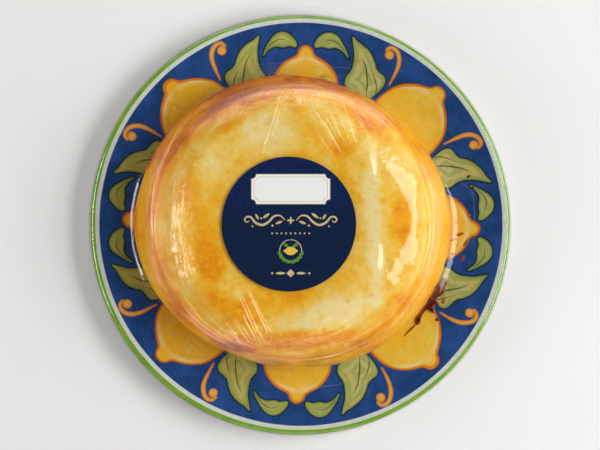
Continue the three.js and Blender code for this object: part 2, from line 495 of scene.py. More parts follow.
# The painting is one eighth of a turn, mirrored round the plate. u runs outwards along the middle of the upright
# lemon, v runs from there towards the slanted lemon, which lies on the line u = v.
UPRIGHT_LEMON = [(60.1, 0), (59.7, 1.3), (58.6, 2.4), (57.2, 3), (56.2, 4.3), (55.3, 6.2), (53.9, 8)]
UPRIGHT_LEMON += [(52, 9.6), (49.6, 10.8), (46.5, 11.4), (43, 11.2), (39, 9.8), (36, 7), (34.6, 3)]
SLANTED_LEMON = [(65.7, 0), (65.4, 1.6), (64.3, 2.7), (62.9, 3.4), (61.9, 5), (60.6, 7.1), (58.6, 9.3)]
SLANTED_LEMON += [(55.9, 11.3), (52.5, 12.5), (48.8, 12.9), (45, 12.6), (41, 11), (38, 8), (36.2, 4)]
BIG_LEAF = [(63, 15.4), (61.4, 17.2), (60.1, 19.2), (57.8, 21.6), (55, 23), (52.9, 23.5), (51.5, 24.5)]
BIG_LEAF += [(50.2, 26.1), (48.8, 26.8), (47.2, 26.4), (45.2, 25), (42.5, 22), (41.5, 19), (43.4, 16.8)]
BIG_LEAF += [(45.6, 15.4), (46.6, 13.9), (48.2, 13.3), (49.9, 13.5), (51.4, 14.7), (53.2, 15.7), (55.6, 16.1)]
BIG_LEAF += [(58.2, 16.2), (60.8, 15.7)]
SMALL_LEAF = [(56, 14.3), (58.2, 13.7), (60.6, 12.4), (62.8, 10.8), (64, 8.8), (63.9, 6.4), (62.4, 4.2)]
SMALL_LEAF += [(60.4, 2.9), (59.2, 3.3), (59.6, 5.4), (59.1, 7.5), (59.3, 10.2), (58.2, 12.4)]
BIG_LEAF_RIB = [(56.4, 18.6), (53.8, 19.9), (51.6, 20.4), (47.5, 20.8), (43, 20.6)]
BIG_LEAF_SIDE_RIB = [(51.2, 22.3), (48.4, 23.5), (45.4, 23.9), (43, 22.9)]
SMALL_LEAF_RIB = [(61.2, 6), (61.7, 8.8), (60.1, 11.5), (57.2, 13.8)]
TENDRIL = [(47.3, 28.2), (50.5, 29.9), (53.4, 31.1), (55.7, 31.4), (57.8, 30.9), (59.2, 29.6), (59.5, 28.1)]
TENDRIL += [(58.7, 27)]
TENDRIL_BALL = (57.1, 28.0)
TENDRIL_BALL_RADIUS = 1.55
SHINES = {
    "slanted": [(54.6, 11.0), (57.6, 8.6), (60.2, 5.4), (61.2, 2.2), (61.6, -0.6)],
    "upright": [(52.6, 7.6), (54.3, 5.0), (55.6, 1.6), (56.2, -1.6)],
}
# How a hand strays from the pattern, as (size of the waves, how far, seeds).
SHAKES = [(13, 0.45, (11, 12)), (3.5, 0.1, (13, 14))]
RIB_REACH = 0.9  # a thin line is drawn from its signed distance, which is kept within this reach of it


def mirrored(half):
    """A whole outline from its half, over the u axis."""
    return half + [(u, -v) for u, v in reversed(half[1:])]


def painting_place(points):
    """Each point of the plate in the painting's own coordinates (u, v)."""
    place = points[..., :2] - PAINTING_CENTRE
    x, y = rotated(place[..., 0], place[..., 1], -PAINTING_TURN)
    return np.sort(abs(np.stack([x, y], axis=-1)), axis=-1)[..., ::-1]


def thin_lines(place, lines):
    """The signed distance to the nearest line and its stroke's half width there, negative where none is near."""
    distance = np.full(place.shape[:-1], RIB_REACH)
    width = np.full(place.shape[:-1], -1.0)
    for points, thickness in lines:
        signed, along = line_distance(place, smooth_line(points))
        near = (abs(signed) < RIB_REACH) & (abs(signed) < abs(distance))
        distance = np.where(near, signed, distance)
        width = np.where(near, thickness * tapered(along, 0.02, 0.6), width)
    return distance, width


def painted_values(points):
    """The painting, as distances in millimetres that the plate's material turns into paint."""
    moved = points.copy()
    for size, far, seeds in SHAKES:
        moved[..., :2] += far * np.stack([noise(points, size, seed) for seed in seeds], axis=-1)
    place = painting_place(moved)
    u, v = place[..., 0], place[..., 1]
    slanted = np.stack([(u + v) / 2**0.5, (u - v) / 2**0.5], axis=-1)
    upright_lemon = shape_distance(place, smooth_line(mirrored(UPRIGHT_LEMON), 4, True))
    slanted_lemon = shape_distance(slanted, smooth_line(mirrored(SLANTED_LEMON), 4, True))
    big_leaf = shape_distance(place, smooth_line(BIG_LEAF, 4, True))
    small_leaf = shape_distance(place, smooth_line(SMALL_LEAF, 4, True))
    stroke, along = line_distance(place, smooth_line(TENDRIL))
    tendril = abs(stroke) - (0.28 + 0.5 * np.sin(np.clip(along, 0, 1) * 2.6))
    ball = norm(place - np.array(TENDRIL_BALL)) - TENDRIL_BALL_RADIUS
    shine = 0
    for key, where in (("slanted", slanted), ("upright", place)):
        distance, along = line_distance(where, smooth_line(SHINES[key]))
        shine = np.maximum(shine, bump(distance, 0.75) * tapered(along, 0.05))
    ribs, rib_width = thin_lines(
        place, [(BIG_LEAF_RIB, 0.26), (BIG_LEAF_SIDE_RIB, 0.2), (SMALL_LEAF_RIB, 0.17)]
    )
    return {
        "lemon": np.minimum(upright_lemon, slanted_lemon),
        "leaf": np.minimum(big_leaf, small_leaf),
        "young": smoothstep(0.6, -0.2, small_leaf),
        "tendril": np.minimum(tendril, ball),
        "shine": shine,
        "rib": ribs,
        "rib_width": rib_width,
        "reach": norm(points[..., :2] - PAINTING_CENTRE),
        # Painted shade: the lemons and leaves are drawn darker and more orange towards the left, where the ricotta
        # shades the plate.
        "painted_left_shade": smoothstep(25, -50, points[..., 0]),
        "shade": noise(points, 9, 15, 2),
    }


def plate_section():
    """The plate's section as [radius, height] pairs, from the middle of its underside to the middle of its top."""
    inner_side = [(-1.4, 1), (-0.7, 0.86), (0, 0.25), (0.35, 0.05), (0.8, 0)]
    outer_side = [(-1.1, 0), (-0.5, 0.05), (-0.1, 0.22), (0.1, 0.6), (0.5, 0.86), (1.2, 1)]
    section = [(r, FOOT_HEIGHT) for r in (6, 14, 22, 29)]
    section += [(FOOT_INNER_RADIUS + out, FOOT_HEIGHT * up) for out, up in inner_side]
    section += [(FOOT_OUTER_RADIUS + out, FOOT_HEIGHT * up) for out, up in outer_side]
    outer_radii = (42.5, 46, 49.5, 51.5, 53, 54.5, 56, 57.5, 60, 62.5, 65, 67.2)
    section += [(r, plate_top(r) - THICKNESS) for r in outer_radii]
    lip_height = PLATE_HEIGHT - LIP_RADIUS
    for turn in np.linspace(-math.pi / 2, math.pi / 2 + 0.15, 14):
        section.append((LIP_CENTRE + LIP_RADIUS * math.cos(turn), lip_height + LIP_RADIUS * math.sin(turn)))
    section += [(r, plate_top(r)) for r in np.linspace(LIP_CENTRE - 0.35, PAINTED_FROM, RIM_RINGS)]
    section += [(r, FLOOR_TOP) for r in (44, 38, 30, 20, 10)]
    return np.array(section, float)


def make_plate():
    angle = directions(PLATE_AROUND)
    grid = np.stack([ring(r, z, angle) for r, z in plate_section()])
    waves = noise(grid, 16, 21, 2) * smoothstep(FOOT_OUTER_RADIUS + 3, 52, norm(grid[..., :2]))
    grid[..., 2] += 0.07 * waves
    top = (normals_of(grid)[..., 2] > -0.15) & (grid[..., 2] > FLOOR_TOP - 0.5)
    values = painted_values(grid)
    values["face"] = top.astype(float)
    piece = grid_piece("painted_plate", grid, (0, 0, FOOT_HEIGHT), (0, 0, FLOOR_TOP), values)
    wear(piece, plate_material(), "plate")
    lay_out_plate(piece.data)


def lay_out_plate(mesh):
    """A map for baking: the upper face is one large disc, and the underside a small one in the corner."""
    corners = read(mesh.loops, "vertex_index", 1, np.int32)[:, 0]
    counts = read(mesh.polygons, "loop_total", 1, np.int32)[:, 0]
    upper = np.repeat(read(mesh.polygons, "normal", 3)[:, 2] > -0.2, counts)
    flat = read(mesh.vertices, "co", 3)[corners, :2] / (MM * PLATE_RADIUS * 1.02)
    large, small, margin = 0.415, 0.165, 0.002
    where = np.where(upper[:, None], large + margin + large * flat, 1 - small - margin + small * flat)
    layer = mesh.uv_layers.new(name="OFBake")
    layer.uv.foreach_set("vector", where.astype(np.float32).ravel())


def plate_material():
    s = Shader("painted_glaze")
    reach, shade, painted_left_shade = s.value("reach"), s.value("shade"), s.value("painted_left_shade")
    blotch, grain = s.noise(7, 3, 0.6), s.noise(1.3, 2, 0.6)
    brush = s.noise(0.9, 3, 0.65, s.stretched((1, 0.25, 1)), 0.6)
    edge = s.plus(-0.25, s.noise(2.2, 2), 0.5)

    blue = s.over((0.017, 0.062, 0.21), (0.028, 0.094, 0.35), blotch, 0.3, 0.75)
    blue = s.over(blue, (0.045, 0.13, 0.38), brush, 0.45, 0.8, 0.35)
    blue = s.over(blue, (0.012, 0.045, 0.17), shade, 0.1, 1.1, 0.55)

    leaf = s.plus(s.value("leaf"), edge, 0.35)
    green = s.over((0.62, 0.54, 0.17), (0.56, 0.58, 0.23), blotch, 0.35, 0.7)
    green = s.mix(s.times(s.value("young"), 0.4), green, (0.42, 0.55, 0.16))
    wash = s.plus(s.plus(s.times(leaf, 0.36), s.noise(3, 2), 0.9), shade, 0.3)
    wash = s.math("ABSOLUTE", s.plus(s.math("FRACT", wash), -0.5))
    green = s.over(green, (0.28, 0.4, 0.09), wash, 0.1, 0.45, 0.65)
    green = s.over(green, (0.62, 0.56, 0.28), grain, 0.5, 0.85, 0.35)
    # Painted shade: the leaves are darker and yellower towards the left.
    green = s.mix(s.times(painted_left_shade, 0.55), green, (0.44, 0.36, 0.05))
    green = s.over(green, (0.1, 0.18, 0.03), leaf, -0.9, -0.1, 0.55)
    paint = s.over(blue, (0.012, 0.04, 0.03), leaf, 0.6, 0.35, 0.95)
    paint = s.over(paint, green, leaf, 0.06, -0.06)
    rib = s.plus(s.math("ABSOLUTE", s.value("rib")), s.value("rib_width"), -1)
    rib = s.times(s.step(rib, 0.08, -0.08, 0, 0.85), s.step(leaf, -0.1, -0.35))
    paint = s.mix(rib, paint, (0.05, 0.065, 0.02))

    tendril = s.plus(s.value("tendril"), edge, 0.25)
    paint = s.over(paint, (0.7, 0.25, 0.03), tendril, 0.07, -0.07)
    paint = s.over(paint, (0.87, 0.45, 0.085), tendril, -0.1, -0.62)

    lemon = s.plus(s.value("lemon"), edge, 0.3)
    depth = s.plus(s.plus(lemon, shade, 0.3), 0.7)
    yellow = s.over((0.92, 0.6, 0.045), (0.95, 0.69, 0.085), blotch, 0.3, 0.72)
    yellow = s.over(yellow, (0.9, 0.48, 0.02), lemon, -4.2, -0.8, 0.35)
    # Partly the painting's own orange and partly painted shade: the lemons turn orange towards the plate's middle,
    # where the ricotta shades them.
    yellow = s.over(yellow, (0.88, 0.42, 0.014), reach, 60, 50, 0.4)
    # Painted shade: the lemons are deeper orange towards the left.
    yellow = s.mix(s.times(painted_left_shade, 0.75), yellow, (0.95, 0.48, 0.009))
    yellow = s.over(yellow, (0.95, 0.72, 0.2), s.noise(5, 3, 0.6, distortion=1.0), 0.48, 0.7, 0.4)
    yellow = s.over(yellow, (0.8, 0.42, 0.02), s.noise(3, 3, 0.6, distortion=1.5), 0.52, 0.72, 0.35)
    yellow = s.over(yellow, (0.94, 0.68, 0.2), grain, 0.55, 0.9, 0.25)
    hairline = s.times(s.ridge(s.noise(16, 0, distortion=0.4), 0.006), s.step(s.noise(9), 0.45, 0.6))
    yellow = s.mix(s.times(hairline, 0.6), yellow, (0.4, 0.2, 0.03))
    yellow = s.mix(s.times(s.value("shine"), 0.62), yellow, (0.95, 0.8, 0.42))
    paint = s.over(paint, (0.5, 0.12, 0.012), lemon, 0.07, -0.07)
    paint = s.over(paint, (0.8, 0.25, 0.01), lemon, -0.15, -0.35)
    paint = s.over(paint, yellow, depth, 0.05, -0.35)

    line = s.plus(reach, s.plus(-0.25, s.noise(6, 2), 0.5), 0.35)
    white = s.over((0.7, 0.77, 0.7), (0.82, 0.86, 0.8), grain, 0.35, 0.8)
    paint = s.over(paint, white, line, WHITE_FROM, WHITE_FROM + 0.2)
    lime = s.over((0.16, 0.38, 0.012), (0.27, 0.48, 0.04), blotch, 0.3, 0.7)
    paint = s.over(paint, lime, line, LIME_FROM, LIME_FROM + 0.22)

    bare = s.over((0.78, 0.74, 0.66), (0.5, 0.4, 0.28), s.noise(0.8, 3), 0.62, 0.7, 0.5)
    relief = s.bump(s.noise(5, 2), 0.12, 0.5)
    return s.surface(
        Base_Color=s.over(bare, paint, s.value("face"), 0.35, 0.65),
        Roughness=s.step(grain, 0.3, 0.8, 0.08, 0.15),
        Normal=s.bump(s.step(lemon, 0.1, -0.35), 0.05, 0.5, relief),
    )


# ---------------------------------------------------------------- the ricotta

RICOTTA_AROUND = 400
# Patches on the top, as (x, y, half length, half width, turn in degrees, how baked). Above 0 is amber, below pale.
BAKED_PATCHES = [
    (33, 0, 4.2, 9, 0, 0.34),
    (-35, 5, 4, 13, 4, 0.16),
    (-30.5, -11, 4.5, 8, 15, 0.26),
    (-3.6, 0.3, 25, 25, 0, 0.2),
    (22, 33, 14, 3.2, -35, 0.34),
    (-20, 35, 12, 2.4, 33, 0.3),
    (-24, -27, 11, 5.5, -38, 0.3),
    (-3, -37.6, 22, 3.2, 3, 0.55),
    (31, -26, 10, 3, 45, 0.25),
    (12, 24.5, 5, 6, 20, 0.22),
    (-12, 30, 9, 7.5, 0, -0.3),
    (24, 0, 3, 22, 4, -0.36),
    (9.5, -29, 16, 5.4, 12, -0.36),
    (-28, 19, 5, 8, -20, -0.16),
    (-29, -9, 5, 10, 0, 0.13),
]
PIT_DEPTH = 0.16
# Sides that are darker, partly browner crust and partly painted shade on the sides turned away from the key light,
# as (direction and half width in degrees, how much darker).
BROWN_AND_SHADED_SIDES = [(115, 55, 0.3), (225, 35, 0.12)]


def ricotta_grid():
    a = directions(RICOTTA_AROUND)
    belly = belly_radius(a)
    rings = [ring(share * (belly - FOOT_INSET), RICOTTA_FOOT, a, RICOTTA_CENTRE) for share in (0.3, 0.6, 0.9)]
    for t in np.linspace(0, 1, 16, endpoint=False) ** 1.3:
        inset = FOOT_INSET * (1 - t) ** FOOT_CURVE
        rings.append(ring(belly - inset, RICOTTA_FOOT + BELLY_HEIGHT * t, a, RICOTTA_CENTRE))
    return np.concatenate([np.stack(rings), upper_body(a)])


def browning_and_side_shade(grid, normal):
    """How brown the ricotta is drawn, from 0 for pale curd to 1 for dark crust, with painted shade on the sides
    turned away from the key light and at their foot.
    """
    x, y = grid[..., 0], grid[..., 1]
    baked = 0.3 + 0.13 * noise(grid, 12, 31, 2) + 0.08 * noise(grid, 4, 32, 3)
    for cx, cy, length, width, turn, amount in BAKED_PATCHES:
        along, across = rotated(x - cx, y - cy, -turn)
        far = np.hypot(along / length, across / width) + 0.3 * noise(grid, 5, 33, 2)
        baked = baked + amount * smoothstep(1.5, 0.3, far)
    baked = np.minimum(baked, 0.66 + 0.1 * noise(grid, 6, 34, 2))
    steep = 1 - normal[..., 2]
    angle = np.arctan2(y, x)
    side_browning_and_shade = sum(darker * bump(turned(angle, at), math.radians(width)) for at, width, darker in BROWN_AND_SHADED_SIDES)
    # Painted shade: the foot of the shaded sides is darker still.
    edge = 0.6 * side_browning_and_shade * smoothstep(0.8, 1.05, steep)
    return baked + (0.26 + side_browning_and_shade) * smoothstep(0.12, 0.6, steep) + edge


def make_ricotta():
    grid = ricotta_grid()
    normal = normals_of(grid)
    on_side = smoothstep(BELLY - 2, BELLY + 2, grid[..., 2])
    on_side *= smoothstep(SHOULDER_FOOT + 3, SHOULDER_FOOT, grid[..., 2])
    rib_place = (grid[..., 2] - BELLY) / (SHOULDER_FOOT - BELLY) * RIB_COUNT * TAU
    relief = -RIB_DEPTH * on_side * (0.5 - 0.5 * np.cos(rib_place + 0.6 * noise(grid, 22, 43)))
    relief += 0.2 * noise(grid, 12, 41, 2) + 0.07 * noise(grid, 2.6, 42, 2)
    pits = smoothstep(0.5, 0.85, noise(grid, 1.9, 44))
    relief -= PIT_DEPTH * pits * smoothstep(0.5, 0.9, normal[..., 2])
    lower = smoothstep(RICOTTA_FOOT, RICOTTA_FOOT + 1, grid[..., 2])
    mottled = 0.5 - 0.32 * smoothstep(0.15, 0.5, 1 - normal[..., 2])
    # The baked value holds the crust's browning and the painted shade of the sides.
    values = {"baked": browning_and_side_shade(grid, normal), "pits": pits, "mottled": mottled}
    grid = grid + normal * (relief * lower)[..., None]
    ends = (*RICOTTA_CENTRE, RICOTTA_FOOT), (*RICOTTA_CENTRE, top_height(0))
    piece = grid_piece("baked_ricotta", grid, *ends, values)
    wear(piece, ricotta_material(), "ricotta")


def ricotta_material():
    s = Shader("baked_curd")
    mottle = s.noise(4.5, 4, 0.62, distortion=0.4)
    specks = s.plus(-0.18, s.noise(1.6, 4, 0.7), 0.36)
    # Painted shade of the sides comes in with the baked value.
    baked = s.plus(s.value("baked"), s.plus(mottle, -0.5), s.value("mottled"))
    baked = s.plus(baked, specks)
    colour = s.ramp(
        baked,
        [
            (0, (0.95, 0.76, 0.34)),
            (0.22, (0.94, 0.64, 0.14)),
            (0.42, (0.93, 0.51, 0.03)),
            (0.62, (0.9, 0.37, 0.006)),
            (0.8, (0.76, 0.21, 0.004)),
            (1, (0.48, 0.09, 0.003)),
        ],
    )
    colour = s.mix(s.times(s.value("pits"), 0.25), colour, (0.7, 0.28, 0.02))
    relief = s.bump(s.noise(2.4, 4, 0.6), 0.25, 0.5)
    relief = s.bump(s.noise(0.5, 3, 0.6), 0.06, 0.5, relief)
    return s.surface(
        Base_Color=colour,
        Roughness=s.step(mottle, 0.3, 0.7, 0.45, 0.6),
        Specular_IOR_Level=0.12,
        Normal=relief,
        Subsurface_Weight=0.25,
        Subsurface_Radius=(0.9, 0.4, 0.12),
        Subsurface_Scale=0.003,
    )


# ---------------------------------------------------------------- the syrup

SYRUP_OUTLINE = [(39.3, -33.6), (40.3, -32.6), (40.6, -31), (41.4, -29.2), (42.8, -28.1), (43.7, -27.8)]
SYRUP_OUTLINE += [(44.2, -28.4), (44.8, -29.6), (45.3, -28.9), (45, -27.4), (45.6, -26.9), (46.6, -27.2)]
SYRUP_OUTLINE += [(46.7, -26.4), (45.7, -25.4), (46.3, -24.2), (47.6, -23.6), (48.6, -22.4), (48.7, -20.9)]
SYRUP_OUTLINE += [(49.2, -19.4), (49, -18), (48, -17.6), (47.2, -18.6), (46, -19.7), (44, -21.3)]
SYRUP_OUTLINE += [(41.8, -24.2), (39.9, -27), (38.7, -29.6), (38.3, -31.6), (38.6, -33.2)]
SYRUP_SPINE = np.array([(39.9, -31.6), (47.9, -19.4)])
SYRUP_DEPTH = 0.9
# Drops under the film, as (x, y, half length, half width, turn in degrees, how thin). Thin ones are paler.
DROPS = [
    (48, -25.6, 0.8, 0.7, 20, 0.7),
    (46, -31.6, 0.75, 0.65, 0, 0.25),
    (36.8, -35.2, 2.6, 0.4, 46, 0.45),
    (56.3, 16.2, 0.6, 0.45, 60, 0),
    (57.7, 12.3, 0.7, 0.5, 70, 0),
    (47.6, 12.3, 0.7, 0.35, -60, 0.3),
    (53.4, -3.1, 1.6, 0.5, 8, 0.8),
    (55.4, -6, 1.3, 0.45, 55, 0.6),
    (51.2, -5, 1.3, 0.4, 20, 0.9),
    (54.4, -11.2, 1.1, 0.5, 70, 0.5),
    (51, -9.6, 0.9, 0.35, 30, 0.9),
    (56.6, 3.4, 0.6, 0.3, -50, 0.8),
    (52.2, 1, 0.8, 0.25, 40, 1),
]


def make_syrup():
    outline = smooth_line(SYRUP_OUTLINE, 5, True)
    way = SYRUP_SPINE[1] - SYRUP_SPINE[0]
    share = np.clip((outline - SYRUP_SPINE[0]) @ way / (way @ way), 0, 1)
    spine = SYRUP_SPINE[0] + share[:, None] * way
    dome = [(math.sin(t), math.cos(t)) for t in np.linspace(1.57, 0.05, 18)]
    rings, thin = [], []
    for share, lift in [(0.05, 0), (0.6, 0), (0.97, 0), *dome]:
        place = spine + share * (outline - spine)
        height = plate_top(norm(place)) + 0.12 + SYRUP_DEPTH * lift**0.7
        rings.append(np.column_stack([place, height]))
        thin.append(np.full(len(place), 0.7 * smoothstep(0.7, 1, share)))
    grid = np.stack(rings)
    grid[3:, :, 2] += 0.06 * noise(grid[3:], 2.2, 95, 2)
    first, last = grid[0].mean(axis=0), grid[-1].mean(axis=0)
    piece = grid_piece("syrup_pool", grid, first, last, {"thin": np.stack(thin)})
    wear(piece, syrup_material(), "syrup")
    wear(make_drops(), piece.data.materials[0])


def make_drops():
    """All the drops, as one mesh of low domes that sit on the plate."""
    turn = directions(20)
    levels = [(0.02, 0), (1, 0), *((math.sin(t), math.cos(t)) for t in np.linspace(1.4, 0.06, 6))]
    meshes = []
    for number, (x, y, length, width, degrees, thin) in enumerate(DROPS):
        rough = 1 + 0.14 * np.sin(2 * turn + number) + 0.1 * np.sin(3 * turn + 2 * number)
        along, across = rotated(length * rough * np.cos(turn), width * rough * np.sin(turn), degrees)
        rings = []
        for share, lift in levels:
            place = np.stack([x + share * along, y + share * across], axis=-1)
            height = plate_top(norm(place)) + 0.02 + (0.24 - 0.12 * thin) * lift
            rings.append(np.column_stack([place, height]))
        grid = np.stack(rings)
        values = {"thin": np.full(grid.shape[:2], thin)}
        meshes.append(grid_piece(f"drop_{number}", grid, grid[0].mean(axis=0), grid[-1].mean(axis=0), values))
    bpy.ops.object.select_all(action="DESELECT")
    for drop in meshes:
        drop.select_set(True)
    bpy.context.view_layer.objects.active = meshes[0]
    bpy.ops.object.join()
    meshes[0].name = "syrup_drops"
    return meshes[0]


def syrup_material():
    s = Shader("cooked_syrup")
    colour = s.over((0.085, 0.005, 0.001), (0.24, 0.032, 0.003), s.noise(2.4, 3, 0.6), 0.42, 0.66)
    colour = s.mix(s.times(s.value("thin"), 0.85), colour, (0.62, 0.16, 0.008))
    return s.surface(
        Base_Color=colour,
        Roughness=s.step(s.noise(0.8), 0.3, 0.7, 0.1, 0.2),
        Normal=s.bump(s.noise(1.6, 2), 0.12, 0.6),
    )


# ---------------------------------------------------------------- the film

FILM_AROUND = 720
# The film's rings from the ricotta to the plate, over the rim, round the lip and from there to the hem.
SPAN_STEPS, RIM_STEPS, LIP_STEPS, HEM_STEPS = 16, 26, 11, 24
FILM_SHINE = 0.06  # what both faces of the film reflect of light that falls straight on it
# Where the film stands off the ricotta in a low swell: the middle's x and y, the reach along x and y, the height.
SWELLS = [
    (37.2, 1.4, 4.6, 6.5, 0.85),
    (28.6, 25.5, 0.9, 0.8, 0.24),
    (21.8, 29, 1.1, 0.9, 0.24),
    (30.3, -19.4, 1.6, 1.3, 0.36),
    (-40, 4, 3, 13, 0.35),
    (-38.5, -16, 4, 5, 0.3),
]
# Broad creases seen from above, as (points, height, half width).
CREASES = [
    ([(-18.8, -21.4), (-13.5, -31), (-9.5, -40.4)], 0.24, 0.5),
    ([(-21.7, -31.2), (-18.5, -36.5), (-15.2, -40.8)], 0.2, 0.5),
    ([(6.5, 36.4), (13, 35.2), (19.6, 32.6)], 0.25, 0.5),
    ([(21.4, 27), (22.6, 20.5), (23.6, 13.5)], 0.45, 1.3),
    ([(24.6, -4), (25, -9.5), (24.2, -15)], 0.45, 1.3),
    ([(-40.8, 30.7), (-45.2, 20), (-47.9, 8.1), (-48.5, -8.1), (-43.7, -24.3)], 0.4, 0.7),
    ([(-30, 36.6), (-20, 41.2), (-8, 43.6), (6, 43.6), (20, 39), (30, 31.6)], 0.25, 0.6),
]
# Bundles of fine folds: a line seen from above that they follow, then how far they lie from it at its two ends,
# their number, the least and greatest share of the line that each runs along, and how milky they are at most. The
# milk is partly the film's whitening and partly a painted glint.
FOLD_BUNDLES = [
    ([(6.5, 41), (11, 32), (15.5, 23)], 9.5, 5, 26, 0.3, 0.9, 0.6),
    ([(-3, 43.5), (-6.5, 33), (-11, 19)], 5, 4.5, 12, 0.4, 0.95, 0.5),
    ([(2.5, 44), (2, 37.5)], 4.5, 3.5, 20, 0.5, 1, 0.6),
    ([(17, 38.5), (22, 30)], 4.5, 4.5, 16, 0.4, 1, 0.6),
    ([(-19.6, -21), (-14.8, -31), (-10, -40.5)], 3, 3, 9, 0.5, 1, 1),
    ([(-22, -30), (-18.5, -35.5), (-15.5, -40.5)], 3.5, 3, 10, 0.5, 1, 1),
    ([(-9, -38), (4, -37.2), (14.5, -33.6), (25, -26)], 2.5, 3.4, 20, 0.2, 0.7, 0.6),
    ([(-2, -35.5), (7, -31.8), (14, -26)], 2, 2.4, 9, 0.4, 0.9, 0.7),
    ([(-39, -20), (-32.5, -30), (-22, -37.5), (-8, -42)], 2.6, 2, 20, 0.1, 0.4, 1),
    ([(-6, -42.5), (8, -41.6), (20, -37.6), (30, -30.8), (37, -22)], 2, 2.4, 22, 0.1, 0.4, 1),
    (
        [(33, 27), (39.5, 17), (42.6, 4), (42, -8), (37.6, -20), (30, -29)],
        *(3.2, 3, 30, 0.15, 0.6, 0.9),
    ),
    (
        [(-30, 35.8), (-15, 42), (0, 44), (14, 41.2), (27, 33.5), (35, 24)],
        *(1.8, 1.8, 14, 0.12, 0.4, 0.9),
    ),
    ([(-40, 30), (-46.5, 12), (-48, -3), (-45.5, -16), (-38, -29)], 2.6, 2.4, 18, 0.12, 0.5, 0.9),
    ([(-38, 21), (-39.8, 10), (-40.2, 0), (-38.4, -12), (-33, -26)], 2.4, 2.4, 30, 0.05, 0.2, 0.9),
    ([(-38, -27), (-30, -34), (-20, -40)], 1.6, 1.6, 10, 0.3, 0.9, 1),
]
CONTACT = (0.16, 0.02, 0.25)
# Single folds, as (points, half width, height, how milky: whitening and painted glint). The last five are where
# the film meets the plate.
SINGLE_FOLDS = [
    ([(-36, 36), (-42, 28), (-46.6, 17), (-48.4, 4), (-47.6, -9)], 0.42, 0.14, 1.7),
    ([(-41, 29), (-45.6, 18), (-47.4, 6), (-47.2, -6)], 0.22, 0.1, 1.2),
    ([(53.5, 24), (53.9, 14.7), (57.4, 11.3), (58.3, 2.5), (57.4, -9)], *CONTACT),
    ([(37.9, 42.2), (41.2, 38.7), (44, 35.1), (45, 32.6)], *CONTACT),
    ([(-23.3, 53.8), (-12.7, 53.8), (-4.3, 54.5), (2, 54.3), (6.3, 53), (16.3, 52.4), (21.3, 50.3)], *CONTACT),
    ([(37, -42.6), (43.4, -36.2), (45.8, -32)], *CONTACT),
    ([(-14, -52.8), (0, -54.6), (16, -52.6), (24, -49)], *CONTACT),
]
# Crumples of short folds that lie across each other: the middle's x and y, the reach along x and y, the number,
# the direction in degrees, how far the directions stray, and the length.
CRUMPLES = [
    (-39, 4, 2.8, 13, 85, 75, 45, 2.3),
    (-37, -14.5, 2.4, 2.8, 40, 0, 90, 2.4),
    (6, -39.5, 14, 2, 14, 8, 24, 3),
    (-22, -36.5, 8, 2.6, 26, -35, 26, 3),
    (-4, 42.6, 12, 2, 60, 60, 60, 1.8),
    (-21, 38.6, 7, 2, 30, 35, 50, 2),
    (26, 33, 6, 4, 10, -50, 30, 2.4),
]
# Where a painted sheen, standing for the studio's reflection on fine wrinkles, makes the film look hazy: a line
# seen from above, the half width, and how hazy.
PAINTED_SHEENS = [
    (
        [(-39, 26.5), (-31.5, 33.8), (-20, 40.8), (-9, 43.8), (3, 44), (13.5, 41.7), (24.5, 35.4), (31, 29)],
        *(2.1, 1),
    ),
    ([(-42.5, 26), (-45.6, 14), (-46.4, -1), (-44.6, -15), (-39, -27)], 3, 0.85),
    ([(-40, -25), (-31, -34.5), (-20, -40.5), (-9, -43), (4, -42.8)], 2.2, 0.9),
    ([(38.5, 24), (42.8, 14), (44.8, 3), (43.8, -9), (40, -19)], 3, 0.7),
]
SHEEN_RUN = 9  # the haze's streaks are this much longer than wide
SHEEN_RADIUS = 45  # turns an angle into a length round the ricotta
# A fold's section, as (half widths out, heights up, how milky: whitening and painted glint).
FOLD_SECTION = [(-1, -0.15, 0), (-0.5, 0.6, 0.8), (0, 1, 1), (0.5, 0.6, 0.8), (1, -0.15, 0)]
FOLD_STEP = 0.7
# The least and greatest of a fine fold's half width, height and milk of whitening and painted glint.
HALF_WIDTHS, HEIGHTS, MILK_AND_GLINT = (0.11, 0.2), (0.06, 0.12), (0.25, 1)
SPARKLE = np.random.default_rng(5)
WELL_ABOVE = 0.2  # metres
# Where the film stands off the belly before it runs down to the plate, as (direction, half the span where it does
# so in full, half the span where it has stopped, how far), in degrees. Elsewhere it does so a little.
STAND_OFFS = [(-10, 14, 27, 0.86), (185, 16, 32, 0.44)]
LEAST_STAND_OFF = 0.06
# Where the film lands nearer the ricotta: the direction and half width in degrees, and how much nearer.
NEAR_LANDINGS = [(94, 26, 4), (45, 20, 1.8)]


def spot(grid, x, y, reach_x, reach_y, width=1.0):
    return bump(np.hypot((grid[..., 0] - x) / reach_x, (grid[..., 1] - y) / reach_y), width)


def zones(grid, places):
    """1 in the middle of each place and 0 far from all of them."""
    return np.clip(sum(spot(grid, *place[:4], 1.5) for place in places), 0, 1)


def painted_sheen_streaks(grid):
    """How strong the painted sheen is, which stands for the studio's reflection on the film's fine wrinkles, in
    streaks that run round the ricotta.
    """
    x, y = grid[..., 0] - RICOTTA_CENTRE[0], grid[..., 1] - RICOTTA_CENTRE[1]
    round_way = SHEEN_RADIUS * np.abs(np.arctan2(y, x)) / SHEEN_RUN
    streaks = noise(np.stack([np.hypot(x, y), round_way, 0 * x], axis=-1), 1.3, 61, 2)
    painted_sheen = np.zeros(x.shape)
    for points, width, amount in PAINTED_SHEENS:
        distance, along = line_distance(grid[..., :2] + 0.8 * noise(grid, 5, 62)[..., None], smooth_line(points))
        ends = smoothstep(0, 0.15, along) * smoothstep(1, 0.85, along)
        painted_sheen = np.maximum(painted_sheen, amount * ends * bump(distance, width))
    return np.clip(painted_sheen * (0.75 + 0.6 * streaks), 0, 1)


def landing_radius(a):
    """Where the film comes down on the plate, in the direction a."""
    return FILM_LANDS_AT - sum(by * bump(turned(a, at), math.radians(width)) for at, width, by in NEAR_LANDINGS)


